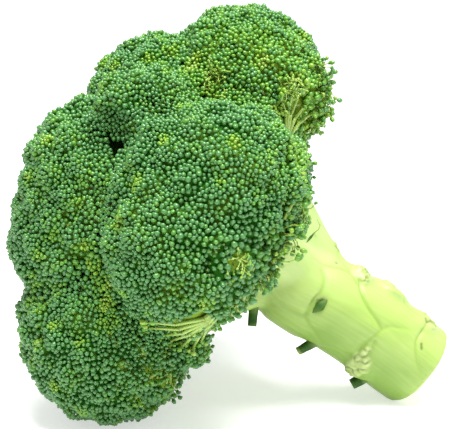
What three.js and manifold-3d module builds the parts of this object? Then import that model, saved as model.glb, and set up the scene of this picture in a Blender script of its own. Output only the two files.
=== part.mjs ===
// A broccoli head lying on its side: a pale stalk that forks into branches, the green florets that
// the branches carry, and the scraps of leaf left in the stalk's axils. Millimetres, +Z up.
import * as THREE from "three";
import { ConvexHull } from "three/addons/math/ConvexHull.js";
import { mergeVertices } from "three/addons/utils/BufferGeometryUtils.js";
import Module from "manifold-3d";

// How the head lies: the crown is to the left, and the cut end of the stalk and two florets touch the surface.
const LEAN = THREE.MathUtils.degToRad(34.5); // crown's axis above the horizontal
const HEADING = THREE.MathUtils.degToRad(8.7); // crown's axis turned towards the front
const FORK_HEIGHT = 48.2; // fork of the stalk above the surface

// Stalk. Its profile is [distance along the axis from the fork, radius], from the cut end to its round top.
const STALK_LENGTH = 65; // cut end to fork
const STALK_RADIUS = 16.2;
const CUT_BEVEL = 2;
const STALK_PROFILE = [
  [-STALK_LENGTH, 0],
  [-STALK_LENGTH, STALK_RADIUS - 1.2 * CUT_BEVEL],
  [-STALK_LENGTH + 0.8 * CUT_BEVEL, STALK_RADIUS - 0.3 * CUT_BEVEL],
  [-STALK_LENGTH + 4 * CUT_BEVEL, STALK_RADIUS],
  [-49, STALK_RADIUS],
  [-39, STALK_RADIUS],
  [-28, STALK_RADIUS],
  [-18, STALK_RADIUS],
  [-8, 15],
  [1, 11],
  [5, 0],
];
const STALK_SIDES = 26;
const STALK_BOW = 2.5; // how far the middle of the stalk bows towards the top

// Branches.
const BRANCH_START = [-33, 0, 6]; // where they start inside the stalk: along, to the front, to the top
const BRANCH_ROOT_RADIUS = 10;
const BRANCH_TAPER = 1.6; // a thin branch's root is this much wider than its tip
const BRANCH_TIP_SHARE = 0.3; // tip radius, and depth below the floret's centre, as a share of its radius
const BRANCH_BEND = 0.36; // share of its length after which a branch leaves the stalk's direction
const BRANCH_LAG = 0.13; // how much sooner the upper branches leave it, and how much later the lower ones
const BRANCH_SIDES = 10;

// Florets.
const BUD_PITCH = 11.4; // spacing of the bud clusters
const SMALL_PITCH_SHARE = 0.6; // largest spacing on a small floret, as a share of its radius
const BUD_HEIGHT = 2.4;
const BUD_DEPTH_SHARE = 0.21; // how far they follow its sides into a crevice, as a share of the radius
const BUD_SHOULDER = 0.74; // height of a cluster's shoulder as a share of its top
const BUD_FURROW = -0.2; // height of the furrow between two clusters as a share of the top
const BUD_PIT = -0.65; // and where three clusters meet
const CREVICE = 2; // how clear of each other neighbouring florets stay
const HOLLOW_SHARE = 0.5; // depth of the underside at the branch, as a share of the radius
const RIM_SHARE = 0.95; // depth of the underside at its rim
const BLEND = 9; // how softly the balls of a floret run together
const HIDDEN_STRIDE = 3; // one point in this many is kept where a floret faces its neighbours
const CLEARANCE = 0.45; // gap between the stalk and what sits on it

// Each floret is a few balls run together: [along the axis, to the front, to the top, radius].
const FLORETS = {
  floret_bottom_side: [[16, 18, -33.5, 8.5]],
  floret_front: [[36, 25, 21.5, 25.5], [37, 30, -4.5, 26], [54, 15, 12.5, 21]],
  floret_top: [[38, -26, 46.5, 28.7], [26, -45, 56, 15]],
  floret_shoulder: [[53, -35, 23, 29.5]],
  floret_brow: [[67, 3, 20.5, 18.5]],
  floret_crown: [[64.5, -4, -2, 28], [57, -2.5, -23, 28]],
  floret_bottom: [[40, 2, -40.5, 29.5], [34.5, 7, -49.5, 26]],
  floret_side: [[10, -31, 29.5, 11.5]],
  floret_rear: [[36.5, -48, -4, 29.5]],
  floret_rear_bottom: [[25, -34, -44.5, 26]],
  floret_rear_top: [[22.5, -61, 22, 26]],
};

// Leaf scars, raised on the stalk: [along the axis, degrees from top to front, half length, half width, rise].
const LEAF_SCARS = [
  [-28, 12, 4, 6, 1.6],
  [-41, -6, 8, 9, 1.8],
  [-56, 20, 5, 6, 1.2],
  [-45, 142, 6, 6.5, 2.2],
  [-52, -118, 7, 8, 2.4],
  [-30, -72, 5, 7, 2],
];

// Leaf scraps, bedded in the stalk: [along, to the front, to the top, half length, half width, half depth].
const LEAF_SCRAPS = {
  leaf_scrap_front: [-17, 16, 2.5, 1.5, 2.6, 2],
  leaf_scrap_branch: [-3.5, 8, -13.6, 2, 2.6, 3.6],
  leaf_scrap_below: [-25, 4, -13.6, 3, 2, 2.8],
  leaf_scrap_end: [-46, 5, -14.2, 3.6, 2, 3],
};

const GREEN = { color: 0x3f6b34, roughness: 0.75, metalness: 0 };
const PALE = { color: 0xb9c98a, roughness: 0.5, metalness: 0 };
const LEAF = { color: 0x3c5f33, roughness: 0.6, metalness: 0 };

// Axes of the plant as it lies: along the crown's axis, to the front and to the top.
const up = new THREE.Vector3(0, 0, 1);
const along = new THREE.Vector3(-Math.cos(LEAN), 0, Math.sin(LEAN)).applyAxisAngle(up, HEADING);
const front = new THREE.Vector3(0, -1, 0).applyAxisAngle(up, HEADING);
const top = new THREE.Vector3().crossVectors(along, front);
const plant = new THREE.Matrix4().makeBasis(along, front, top).setPosition(0, 0, FORK_HEIGHT);
const lying = (x, y, z) => new THREE.Vector3(x, y, z).applyMatrix4(plant);
const fork = lying(0, 0, 0);

const wasm = await Module();
wasm.setup();

// A seeded random number from 0 to 1.
let seed = 20417;
function random() {
  seed = (seed + 0x6d2b79f5) | 0;
  let t = Math.imul(seed ^ (seed >>> 15), 1 | seed);
  t = (t + Math.imul(t ^ (t >>> 7), 61 | t)) ^ t;
  return ((t ^ (t >>> 14)) >>> 0) / 4294967296;
}

// A closed geometry as a solid that can be joined and cut.
function solidOf(geometry) {
  const bare = new THREE.BufferGeometry().setAttribute("position", geometry.getAttribute("position"));
  bare.setIndex(geometry.index);
  const merged = mergeVertices(bare, 1e-3);
  const vertProperties = new Float32Array(merged.attributes.position.array);
  const triVerts = new Uint32Array(merged.index.array);
  return new wasm.Manifold(new wasm.Mesh({ numProp: 3, vertProperties, triVerts }));
}

function geometryOf(solid) {
  const { vertProperties, triVerts } = solid.getMesh();
  return new THREE.BufferGeometry()
    .setAttribute("position", new THREE.BufferAttribute(vertProperties, 3))
    .setIndex(new THREE.BufferAttribute(triVerts, 1));
}

// Moves every vertex of a geometry to where a rule puts it.
function reshape(geometry, rule) {
  const position = geometry.getAttribute("position");
  for (let i = 0; i < position.count; i += 1) {
    const moved = rule(new THREE.Vector3().fromBufferAttribute(position, i));
    position.setXYZ(i, ...moved.toArray());
  }
  return geometry;
}

const florets = Object.entries(FLORETS).map(([name, balls]) => {
  const blobs = balls.map(([x, y, z, radius]) => ({ centre: lying(x, y, z), radius }));
  const centre = new THREE.Vector3();
  const bulk = balls.reduce((sum, [, , , radius]) => sum + radius ** 2, 0);
  blobs.forEach((blob) => centre.addScaledVector(blob.centre, blob.radius ** 2 / bulk));
  const axis = centre.clone().sub(fork).normalize();
  return { name, blobs, centre, axis, radius: Math.max(...blobs.map((blob) => blob.radius)) };
});

// Distance of a point outside a floret's rounded body; negative inside.
function outside(floret, point) {
  const gaps = floret.blobs.map((blob) => point.distanceTo(blob.centre) - blob.radius);
  return gaps.reduce((a, b) => {
    const overlap = Math.max(0, 1 - Math.abs(a - b) / BLEND);
    return Math.min(a, b) - (overlap ** 2 * BLEND) / 4;
  });
}

// How far a floret reaches from its centre in a direction before it meets its own skin, the crevice it shares
// with a neighbour or its hollow underside, and how deep beneath the skin that is.
function reach(floret, direction) {
  const slope = (RIM_SHARE - HOLLOW_SHARE) / Math.sqrt(1 - RIM_SHARE ** 2);
  const down = -direction.dot(floret.axis);
  const steepness = down - slope * Math.sqrt(Math.max(0, 1 - down ** 2));
  const others = florets.filter((other) => other !== floret);
  const point = new THREE.Vector3();
  const beneathSkin = (distance) => {
    point.copy(floret.centre).addScaledVector(direction, distance);
    return BUD_HEIGHT - outside(floret, point);
  };
  const inside = (distance) => {
    const depth = beneathSkin(distance);
    const own = BUD_HEIGHT - depth;
    const clear = others.every((other) => own - outside(other, point) < -CREVICE);
    return depth > 0 && clear && distance * steepness < HOLLOW_SHARE * floret.radius;
  };
  let near = 0;
  let far = 2.2 * floret.radius;
  for (let step = 0; step < 36; step += 1) {
    const middle = (near + far) / 2;
    if (inside(middle)) near = middle;
    else far = middle;
  }
  return { distance: near, depth: beneathSkin(near) };
}

// Directions spread evenly over a ball by the golden angle, each nudged a little.
function spread(count) {
  const turn = Math.PI * (3 - Math.sqrt(5));
  const nudge = () => (0.6 * (random() - 0.5)) / Math.sqrt(count);
  return Array.from({ length: count }, (_, i) => {
    const height = 1 - (2 * i + 1) / count;
    const ring = Math.sqrt(1 - height ** 2);
    const direction = new THREE.Vector3(ring * Math.cos(turn * i), ring * Math.sin(turn * i), height);
    return direction.add(new THREE.Vector3(nudge(), nudge(), nudge())).normalize();
  });
}

// A floret's skin: a net of triangles between the tops of its bud clusters. Where all three corners are
// clusters the triangle is split, so that each cluster has a top, a shoulder all round and a furrow about it.
function floretGeometry(floret) {
  const pitch = Math.min(BUD_PITCH, SMALL_PITCH_SHARE * floret.radius);
  const count = Math.round((4 * Math.PI * floret.radius ** 2) / (0.866 * pitch ** 2));
  const knots = spread(count)
    .map((direction) => ({ direction, bud: reach(floret, direction).depth < BUD_DEPTH_SHARE * floret.radius }))
    .filter(({ bud }, i) => bud || i % HIDDEN_STRIDE === 0);
  const positions = [];
  const made = new Map();
  const vertex = (key, direction, height) => {
    if (!made.has(key)) {
      const distance = reach(floret, direction).distance - (1 - height) * BUD_HEIGHT;
      made.set(key, positions.length / 3);
      positions.push(...floret.centre.clone().addScaledVector(direction, distance).toArray());
    }
    return made.get(key);
  };
  const between = (...weighted) => {
    const sum = new THREE.Vector3();
    weighted.forEach(([knot, weight]) => sum.addScaledVector(knots[knot].direction, weight));
    return sum.normalize();
  };
  const tip = (a) => vertex(`${a}`, knots[a].direction, 1);
  const shoulder = (a, b) => vertex(`${a}-${b}`, between([a, 2.2], [b, 1]), BUD_SHOULDER);
  const furrow = (a, b) => vertex([a, b].sort().join("+"), between([a, 1], [b, 1]), BUD_FURROW);

  const index = [];
  const number = new Map(knots.map(({ direction }, i) => [direction, i]));
  for (const { edge } of new ConvexHull().setFromPoints([...number.keys()]).faces) {
    const corners = [edge.tail(), edge.head(), edge.next.head()].map(({ point }) => number.get(point));
    const plain = corners.findIndex((corner) => !knots[corner].bud);
    const [c, a, b] = [0, 1, 2].map((step) => corners[(Math.max(plain, 0) + step) % 3]);
    const buds = corners.filter((corner) => knots[corner].bud).length;
    if (buds === 3) {
      const middle = between([a, 1], [b, 1], [c, 1]);
      const pit = vertex(`pit ${index.length}`, middle, BUD_PIT);
      [[c, a, b], [a, b, c], [b, c, a]].forEach(([before, here, after]) => {
        const fan = [furrow(before, here), shoulder(here, before), shoulder(here, after), furrow(here, after)];
        fan.slice(1).forEach((corner, k) => index.push(pit, fan[k], corner));
        index.push(tip(here), fan[2], fan[1]);
      });
    } else if (buds === 2) {
      const side = [tip(a), shoulder(a, b), furrow(a, b), shoulder(b, a), tip(b)];
      side.slice(1).forEach((corner, k) => index.push(tip(c), side[k], corner));
    } else {
      index.push(tip(c), tip(a), tip(b));
    }
  }
  return new THREE.BufferGeometry()
    .setAttribute("position", new THREE.Float32BufferAttribute(positions, 3))
    .setIndex(index);
}

// The same floret a little larger, to cut room for it.
const swollen = (geometry, { centre }) =>
  solidOf(reshape(geometry.clone(), (p) => p.addScaledVector(p.clone().sub(centre).normalize(), CLEARANCE)));

// The stalk's core, turned from its profile and bowed.
const bow = (distance) => STALK_BOW * Math.sin((Math.PI * Math.max(0, -distance)) / STALK_LENGTH);
function stalkCore() {
  const profile = STALK_PROFILE.map(([distance, radius]) => new THREE.Vector2(radius, distance));
  const turned = new THREE.LatheGeometry(profile, STALK_SIDES);
  return solidOf(reshape(turned, (p) => lying(p.y, p.z, p.x + bow(p.y))));
}

// A branch from inside the stalk into the hollow under its floret: it leaves along the stalk and bends out.
function branch({ centre, axis, radius }) {
  const tipRadius = BRANCH_TIP_SHARE * radius;
  const tip = centre.clone().addScaledVector(axis, -tipRadius);
  const start = lying(...BRANCH_START);
  const bendShare = BRANCH_BEND - BRANCH_LAG * axis.dot(top);
  const bend = start.clone().addScaledVector(along, bendShare * start.distanceTo(tip));
  const path = new THREE.QuadraticBezierCurve3(start, bend, tip);
  const side = new THREE.Vector3().crossVectors(tip.clone().sub(start), top).normalize();
  const rootRadius = Math.min(BRANCH_ROOT_RADIUS, BRANCH_TAPER * tipRadius);
  const rings = [0, 0.3, 0.5, 0.7, 0.85, 1].map((t) => [THREE.MathUtils.lerp(rootRadius, tipRadius, t), t]);
  const profile = [[0, 0], ...rings, [0, 1]].map(([x, y]) => new THREE.Vector2(x, y));
  return solidOf(reshape(new THREE.LatheGeometry(profile, BRANCH_SIDES), (p) => {
    const across = new THREE.Vector3().crossVectors(side, path.getTangent(p.y)).normalize();
    return path.getPoint(p.y).addScaledVector(side, p.x).addScaledVector(across, p.z);
  }));
}

// An ellipsoid bedded in the stalk's side at a place in the plant's axes, lying along the stalk.
function pad(x, y, z, halfLength, halfWidth, halfDepth) {
  const turn = Math.atan2(y, z);
  const ball = new THREE.SphereGeometry(1, 10, 6).scale(halfLength, halfWidth, halfDepth).rotateX(-turn);
  return ball.translate(x, y, z).applyMatrix4(plant);
}

function leafScar([distance, turnDegrees, halfLength, halfWidth, rise]) {
  const turn = THREE.MathUtils.degToRad(turnDegrees);
  const toFront = STALK_RADIUS * Math.sin(turn);
  const toTop = STALK_RADIUS * Math.cos(turn) + bow(distance);
  return solidOf(pad(distance, toFront, toTop, halfLength, halfWidth, rise));
}

const head = new THREE.Group();
function add(name, geometry, look) {
  const mesh = new THREE.Mesh(geometry, new THREE.MeshStandardMaterial(look));
  mesh.name = name;
  head.add(mesh);
}

const taken = [solidOf(new THREE.BoxGeometry(400, 400, 20).translate(0, 0, -10))]; // the surface it lies on
florets.forEach((floret) => {
  const geometry = floretGeometry(floret);
  add(floret.name, geometryOf(solidOf(geometry).subtract(wasm.Manifold.union(taken))), GREEN);
  taken.push(swollen(geometry, floret));
});

Object.entries(LEAF_SCRAPS).forEach(([name, [x, y, z, ...halves]]) => {
  add(name, pad(x, y, z, ...halves), LEAF);
  taken.push(solidOf(pad(x, y, z, ...halves.map((half) => half + CLEARANCE))));
});

const limbs = [stalkCore(), ...florets.map(branch), ...LEAF_SCARS.map(leafScar)];
const pieces = wasm.Manifold.union(limbs).subtract(wasm.Manifold.union(taken)).decompose();
const [stalk] = pieces.sort((a, b) => b.volume() - a.volume()); // a branch end cut off by a floret is dropped
add("stalk", geometryOf(stalk), PALE);

const box = new THREE.Box3().setFromObject(head);
const middle = box.getCenter(new THREE.Vector3());
head.children.forEach((mesh) => mesh.geometry.translate(-middle.x, -middle.y, 0));

export default head;
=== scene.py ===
import math
import random

import bmesh
import bpy
import numpy as np
from mathutils import Matrix, Vector
from mathutils.bvhtree import BVHTree
from mathutils.kdtree import KDTree
from mathutils.noise import noise as noise_at
from mathutils.noise import voronoi as cells_at


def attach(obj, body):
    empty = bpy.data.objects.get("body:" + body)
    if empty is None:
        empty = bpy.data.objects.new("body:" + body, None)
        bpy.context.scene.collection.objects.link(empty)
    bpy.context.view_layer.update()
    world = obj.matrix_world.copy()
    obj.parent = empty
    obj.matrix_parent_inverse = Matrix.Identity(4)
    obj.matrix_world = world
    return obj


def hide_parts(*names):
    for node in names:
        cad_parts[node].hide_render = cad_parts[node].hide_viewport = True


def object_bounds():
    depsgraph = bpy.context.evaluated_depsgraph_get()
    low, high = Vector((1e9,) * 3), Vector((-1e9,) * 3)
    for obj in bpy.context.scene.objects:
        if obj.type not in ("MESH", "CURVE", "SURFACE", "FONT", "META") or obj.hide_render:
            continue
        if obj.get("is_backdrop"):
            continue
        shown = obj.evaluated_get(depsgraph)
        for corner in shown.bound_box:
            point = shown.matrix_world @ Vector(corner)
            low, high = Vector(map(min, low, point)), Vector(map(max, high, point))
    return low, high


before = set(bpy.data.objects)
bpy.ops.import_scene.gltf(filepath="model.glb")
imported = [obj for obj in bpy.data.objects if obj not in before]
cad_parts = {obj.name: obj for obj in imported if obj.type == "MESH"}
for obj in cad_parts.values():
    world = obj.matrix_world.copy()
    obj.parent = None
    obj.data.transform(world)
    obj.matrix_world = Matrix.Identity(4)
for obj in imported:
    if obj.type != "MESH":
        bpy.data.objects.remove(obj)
cad_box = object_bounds()
MM = 0.001


# Stalk: the thick stem with its branches, one body of pale juicy plant flesh under a thin waxy skin.
# It grew as leaf base over leaf base, whose edges show as curved creases, with a corky scar where each leaf
# broke off. A knife cut it off nearly square, so its end shows the pith inside a ring of fibres.

FORK = Vector((14.206, -12.269, 48.2)) * MM
ALONG = Vector((-0.8146, -0.1247, 0.5664))
FRONT = Vector((0.1513, -0.9885, 0.0))
TOP = Vector((0.5599, 0.0857, 0.8241))
WELD = 0.001 * MM  # vertices of the CAD that are closer than this are one
STALK_NET = 0.62 * MM
FIRST_ROUNDS, LATER_ROUNDS = 5, 22

# Lengths, widths and depths on the stalk are in millimetres, and its waves are to the millimetre.
CRISP_END = 62  # the skin is smooth as far as this from the fork, and crisp at the knife's cut beyond
STALK_LENGTH = 65
STALK_RADIUS = 16.2
STALK_BOW = 2.5
TRUNK_REACH, TRUNK_FADE = 21, 2  # nothing further from the axis than this belongs to the trunk
FORK_FADE = 4  # past the fork the trunk's skin gives way to the branches' over this length
CREASE_DEPTH, CREASE_WIDTH = 0.5, 0.75
PLATE_DEPTH, PLATE_SOFTNESS = 0.9, 3.2
SCAR_RISE, SCAR_ROUGHNESS = 0.35, 0.75
SCAR_RAGGEDNESS, SCAR_WAVES = 0.45, 0.45
SCAR_EDGE, SCAR_FADE = 1.2, 0.35
TEAR_DEPTH, TEAR_WIDTH, TEAR_WAVES = 0.5, 0.13, 0.33
TEAR_SHIFT = Vector((7, 3, 5))
MARK_DEPTH, MARK_WIDTH = 0.35, 0.42
LUMPS, LUMP_WAVES = 0.5, 0.045
CUT_START, CUT_FADE = 1.2, 0.8  # the cut face begins this far before the stalk's end
CUT_DISH, CUT_RIM = 0.7, 0.9
CUT_EDGES = ((-65, -63.4, -57), (13.8, 15.6, 16.2))  # places along the axis, and the CAD's radii there
CUT_LEAN, CUT_LEAN_START = 3.2, -58  # the top of the cut end is this much longer than its bottom
TRUNK_GREEN, TRUNK_GREENING = 0.5, 25  # how much greener the skin is near the cut, and over what length

# Colours, some with their places on a ramp: the skin goes from its pale top to its green flanks, partly its
# own colour and partly painted shade away from the top, and the cut face from its middle to its rim. The
# tones are the shares that each pattern has in the skin's colour.
SKIN_COLOURS = (
    (0.0, (0.39, 0.515, 0.182)),
    (0.5, (0.345, 0.475, 0.116)),
    (1.0, (0.165, 0.29, 0.03)),
)
CUT_COLOURS = (
    (0.0, (0.50, 0.58, 0.28)),
    (0.72, (0.54, 0.62, 0.31)),
    (0.86, (0.40, 0.50, 0.17)),
    (1.0, (0.30, 0.43, 0.10)),
)
SCAR_COLOURS = ((0.35, (0.30, 0.41, 0.11)), (0.65, (0.45, 0.54, 0.21)))
CREASE_COLOUR = (0.22, 0.36, 0.04)
TEAR_COLOUR = (0.17, 0.22, 0.05)
MARK_COLOUR = (0.10, 0.12, 0.03)
FLANK_AND_SHADE_TONE, BLOTCH_TONE, FIBRE_TONE, FIBRE_SHIFT = 0.75, 0.5, 0.35, 0.17
CREASE_TONE, SCAR_TONE = 0.7, 0.85
BLOTCHES, SCAR_GRAIN, RING_GRAIN, PORES = 55, 420, 700, 1400  # waves to the metre
RING_WOBBLE = 0.16
PORE_HEIGHT = 0.25
FIBRES = 0.9  # waves to the millimetre round the stalk
FIBRE_STRETCH = (0.06, 1, 1)

# Creases, scars and marks are placed by the distance along the axis from the fork, in millimetres, and by
# the degrees from the top of the stalk round to its front. A crease has its depths at both ends, from 0 to 1.
CREASES = [
    (1.0, 0.3, [(-15, 113), (-11.8, 114), (-7.5, 115), (-4, 118)]),
    (1.0, 0.5, [(-15, 113), (-14.9, 91), (-15.2, 70), (-14.5, 55), (-12.2, 46)]),
    (0.9, 0.1, [(-15, 113), (-19.7, 123), (-25, 134), (-28.7, 142)]),
    (0.7, 0.2, [(-25.9, 38), (-23.1, 27), (-18.5, 28), (-13.4, 36), (-8.9, 34), (-4.5, 26)]),
    (0.6, 0.1, [(-22.5, 23), (-19, 14), (-16.2, -7)]),
    (1.0, 0.9, [(-26.2, 30), (-28.9, 50), (-34, 64), (-38.5, 69), (-41, 75)]),
    (0.1, 1.0, [
        (-54.9, 43), (-49.9, 54), (-46, 61), (-42.4, 67), (-41, 76), (-39.6, 89), (-38.4, 105), (-39.1, 120)
    ]),
    (0.9, 0.3, [(-41.2, 93), (-41.7, 101), (-42, 108), (-43.3, 115), (-44.5, 121)]),
    (0.8, 0.2, [(-38.2, 128), (-34.2, 136), (-29.7, 145), (-27.2, 172)]),
    (1.0, 0.4, [(-57.2, 22), (-55.9, 37), (-54.5, 59), (-56.2, 71), (-59.2, 82), (-63.3, 92)]),
    (0.7, 0.2, [(-41, -4), (-43.8, 13), (-48, 20), (-53, 24)]),
    (1.0, 0.2, [(-30, -72), (-33, -50), (-36, -30), (-38, -12)]),
    (0.9, 0.2, [(-30, -72), (-35, -90), (-42, -102), (-49, -112)]),
    (1.0, 0.3, [(-52, -118), (-55, -95), (-56, -70), (-53, -45), (-47, -25)]),
    (0.9, 0.2, [(-52, -118), (-48, -140), (-42, -160), (-36, -178)]),
    (0.9, 0.2, [(-12, -40), (-16, -60), (-20, -85), (-22, -110), (-20, -140), (-16, -165)]),
]
# Each scar has its place, its half length along the stalk and its half width round it.
SCARS = [
    (-27.5, 14, 2.6, 5.4),
    (-41, -6, 2.4, 4.5),
    (-58, 18, 2.6, 4.2),
    (-42.5, 133, 3.4, 5.5),
    (-41.2, 112, 1.5, 3.2),
    (-52, -118, 3.4, 6),
    (-30, -72, 2.8, 5.2),
    (-16.2, -12, 2, 2.5),
]
# Marks are small brown nicks in the skin.
MARKS = [
    [(-57, 57), (-57.9, 63)],
    [(-16.7, 21), (-17, 21)],
    [(-47, -140), (-49, -138)],
    [(-24, -95), (-24.8, -92)],
]


def smooth_over(bm, verts, rounds):
    """Evens out a part of a net by rounds of smoothing."""
    for _ in range(rounds):
        bmesh.ops.smooth_vert(
            bm, verts=verts, factor=0.5, use_axis_x=True, use_axis_y=True, use_axis_z=True
        )
    bm.normal_update()


def even_net(nodes, pitch, rounds, close=0):
    """The skin of CAD nodes as an even, smoothed net, with clefts closed up to a half width."""
    bm = bmesh.new()
    for node in nodes:
        bm.from_mesh(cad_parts[node].data)
    bmesh.ops.remove_doubles(bm, verts=bm.verts, dist=WELD)
    rough = bpy.data.meshes.new("rough")
    bm.to_mesh(rough)
    carrier = bpy.data.objects.new("carrier", rough)
    bpy.context.scene.collection.objects.link(carrier)
    for swell in (0, close, -close) if close else (0,):
        if swell:
            displace = carrier.modifiers.new("swell", "DISPLACE")
            displace.mid_level = 0
            displace.strength = swell
        remesh = carrier.modifiers.new("even net", "REMESH")
        remesh.mode = "VOXEL"
        remesh.voxel_size = pitch
    bm.clear()
    bm.from_object(carrier, bpy.context.evaluated_depsgraph_get())
    bpy.data.objects.remove(carrier)
    bpy.data.meshes.remove(rough)
    smooth_over(bm, bm.verts, rounds)
    return bm


def piece_from(bm, name, materials, node):
    """Turns a bmesh into a smooth-shaded piece of the head, which may stand for a CAD node."""
    for face in bm.faces:
        face.smooth = True
    mesh = bpy.data.meshes.new(name)
    bm.to_mesh(mesh)
    bm.free()
    for material in materials:
        mesh.materials.append(material)
    piece = bpy.data.objects.new(name, mesh)
    bpy.context.scene.collection.objects.link(piece)
    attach(piece, "root")
    if node:
        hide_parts(node)


class Finish:
    """A material in the making: its shader, and the patterns that feed it."""

    def __init__(self, name):
        self.material = bpy.data.materials.new(name)
        self.material.use_nodes = True
        self.nodes = self.material.node_tree.nodes
        self.links = self.material.node_tree.links
        self.shader = self.nodes["Principled BSDF"]
        self.place = self.nodes.new("ShaderNodeTexCoord").outputs["Object"]

    def set(self, **values):
        """Sets sockets of the shader, spaces in their names written as underscores."""
        for name, value in values.items():
            self.shader.inputs[name.replace("_", " ")].default_value = value

    def feed(self, socket, output):
        """Lets a pattern drive a socket of the shader."""
        self.links.new(output, self.shader.inputs[socket])

    def layer(self, name, output="Fac"):
        """What a layer of the mesh says about a spot on it."""
        node = self.nodes.new("ShaderNodeAttribute")
        node.attribute_name = name
        return node.outputs[output]

    def math(self, operation, *values):
        """A sum done on patterns and numbers."""
        node = self.nodes.new("ShaderNodeMath")
        node.operation = operation
        for socket, value in zip(node.inputs, values):
            if isinstance(value, (int, float)):
                socket.default_value = value
            else:
                self.links.new(value, socket)
        return node.outputs[0]

    def clouds(self, scale, detail=2.0, vector=None):
        """A cloudy pattern with so many waves to the unit of its vector."""
        node = self.nodes.new("ShaderNodeTexNoise")
        node.inputs["Scale"].default_value = scale
        node.inputs["Detail"].default_value = detail
        self.links.new(vector or self.place, node.inputs["Vector"])
        return node.outputs["Fac"]

    def ramp(self, value, *stops):
        """A colour ramp over a value, from (place, colour) stops."""
        node = self.nodes.new("ShaderNodeValToRGB")
        elements = node.color_ramp.elements
        while len(elements) < len(stops):
            elements.new(0.5)
        for element, (place, colour) in zip(elements, stops):
            element.position = place
            element.color = (*colour, 1)
        self.links.new(value, node.inputs["Fac"])
        return node.outputs["Color"]

    def mix(self, share, first, second):
        """One colour changing to another as the share goes from 0 to 1."""
        node = self.nodes.new("ShaderNodeMix")
        node.data_type = "RGBA"
        for socket, value in zip((node.inputs[0], node.inputs[6], node.inputs[7]), (share, first, second)):
            if isinstance(value, tuple):
                socket.default_value = (*value, 1)
            else:
                self.links.new(value, socket)
        return node.outputs[2]

    def bump(self, height, strength, distance):
        """Makes the surface look uneven by a pattern of heights."""
        node = self.nodes.new("ShaderNodeBump")
        node.inputs["Strength"].default_value = strength
        node.inputs["Distance"].default_value = distance
        self.links.new(height, node.inputs["Height"])
        self.feed("Normal", node.outputs["Normal"])


def round_the_stalk(spots):
    """Where spots lie: millimetres along the stalk, degrees round it and millimetres from its axis."""
    away = (spots - np.array(FORK)) / MM
    along, front, top = away @ np.array(ALONG), away @ np.array(FRONT), away @ np.array(TOP)
    top = top - STALK_BOW * np.sin(np.pi * np.clip(-along, 0, STALK_LENGTH) / STALK_LENGTH)
    return along, np.degrees(np.arctan2(front, top)), np.hypot(front, top)


def step_to(along, turn, place):
    """How far spots on the stalk lie from a place on it: along, and round it in millimetres."""
    around = (turn - place[1] + 180) % 360 - 180
    return along - place[0], np.radians(around) * STALK_RADIUS


def eased(line):
    """A line with its corners cut twice over and its ends kept."""
    for _ in range(2):
        middle = []
        for (a, b), (c, d) in zip(line, line[1:]):
            middle += [(a + (c - a) * share, b + (d - b) * share) for share in (0.25, 0.75)]
        line = [line[0], *middle, line[-1]]
    return line


def along_a_line(along, turn, line):
    """How many millimetres spots lie from a line on the stalk, and the share of it gone by there."""
    nearest = np.full(len(along), 1e3)
    gone = np.zeros(len(along))
    for step, (start, end) in enumerate(zip(line, line[1:])):
        x, y = step_to(along, turn, start)
        run_x, run_y = step_to(np.array([end[0]]), np.array([end[1]]), start)
        share = np.clip((x * run_x + y * run_y) / (run_x**2 + run_y**2), 0, 1)
        distance = np.hypot(x - share * run_x, y - share * run_y)
        gone = np.where(distance < nearest, (step + share) / (len(line) - 1), gone)
        nearest = np.minimum(nearest, distance)
    return nearest, gone


stalk_net = even_net(["stalk"], STALK_NET, FIRST_ROUNDS)
smooth_over(
    stalk_net,
    [vert for vert in stalk_net.verts if (vert.co - FORK).dot(ALONG) > -CRISP_END * MM],
    LATER_ROUNDS,
)
spots = np.array([vert.co for vert in stalk_net.verts])
along, turn, radius = round_the_stalk(spots)
trunk = np.clip((TRUNK_REACH - radius) / TRUNK_FADE, 0, 1) * np.clip((FORK_FADE - along) / FORK_FADE, 0, 1)
crease = np.zeros(len(spots))
plate_edge = np.zeros(len(spots))
for first, last, line in CREASES:
    distance, gone = along_a_line(along, turn, eased(line))
    depth = trunk * (first + (last - first) * gone)
    crease = np.maximum(crease, depth * np.exp(-((distance / CREASE_WIDTH) ** 2)))
    plate_edge = np.maximum(plate_edge, depth * np.exp(-distance / PLATE_SOFTNESS))
ragged = np.array([noise_at(Vector(spot) * SCAR_WAVES / MM) for spot in spots])
torn = np.array([noise_at(Vector(spot) * TEAR_WAVES / MM + TEAR_SHIFT) for spot in spots])
scar = np.zeros(len(spots))
for scar_along, scar_turn, half_length, half_width in SCARS:
    x, y = step_to(along, turn, (scar_along, scar_turn))
    reach = np.hypot(x / half_length, y / half_width) - SCAR_RAGGEDNESS * ragged
    scar = np.maximum(scar, trunk * np.clip((SCAR_EDGE - reach) / SCAR_FADE, 0, 1))
tear = scar * np.exp(-((torn / TEAR_WIDTH) ** 2))
mark = np.zeros(len(spots))
for line in MARKS:
    distance, _ = along_a_line(along, turn, line)
    mark = np.maximum(mark, trunk * np.exp(-((distance / MARK_WIDTH) ** 2)))
cut = np.clip((-along - STALK_LENGTH + CUT_START) / CUT_FADE, 0, 1)
upper = (1 + np.cos(np.radians(turn)) * np.clip(radius / STALK_RADIUS, 0, 1)) / 2
lean = upper * np.clip((CUT_LEAN_START - along) / (STALK_LENGTH + CUT_LEAN_START), 0, 1) ** 2
greening = TRUNK_GREEN * trunk * np.clip(-along / TRUNK_GREENING, 0, 1)
spread = upper * (STALK_RADIUS / np.interp(along, *CUT_EDGES) - 1)
tints = {
    "crease": crease,
    "scar": scar,
    "tear": tear,
    "mark": mark,
    "cut": cut,
    # paler at the top and greener round the flanks and underside, partly its own colour and partly painted
    # shade; greener again near the cut
    "flank_and_shade": (1 - np.cos(np.radians(turn))) / 2 + greening,
    "radius": radius / STALK_RADIUS,
}
layers = {tint: stalk_net.verts.layers.float.new(tint) for tint in tints}
grain = stalk_net.verts.layers.float_vector.new("grain")
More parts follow.
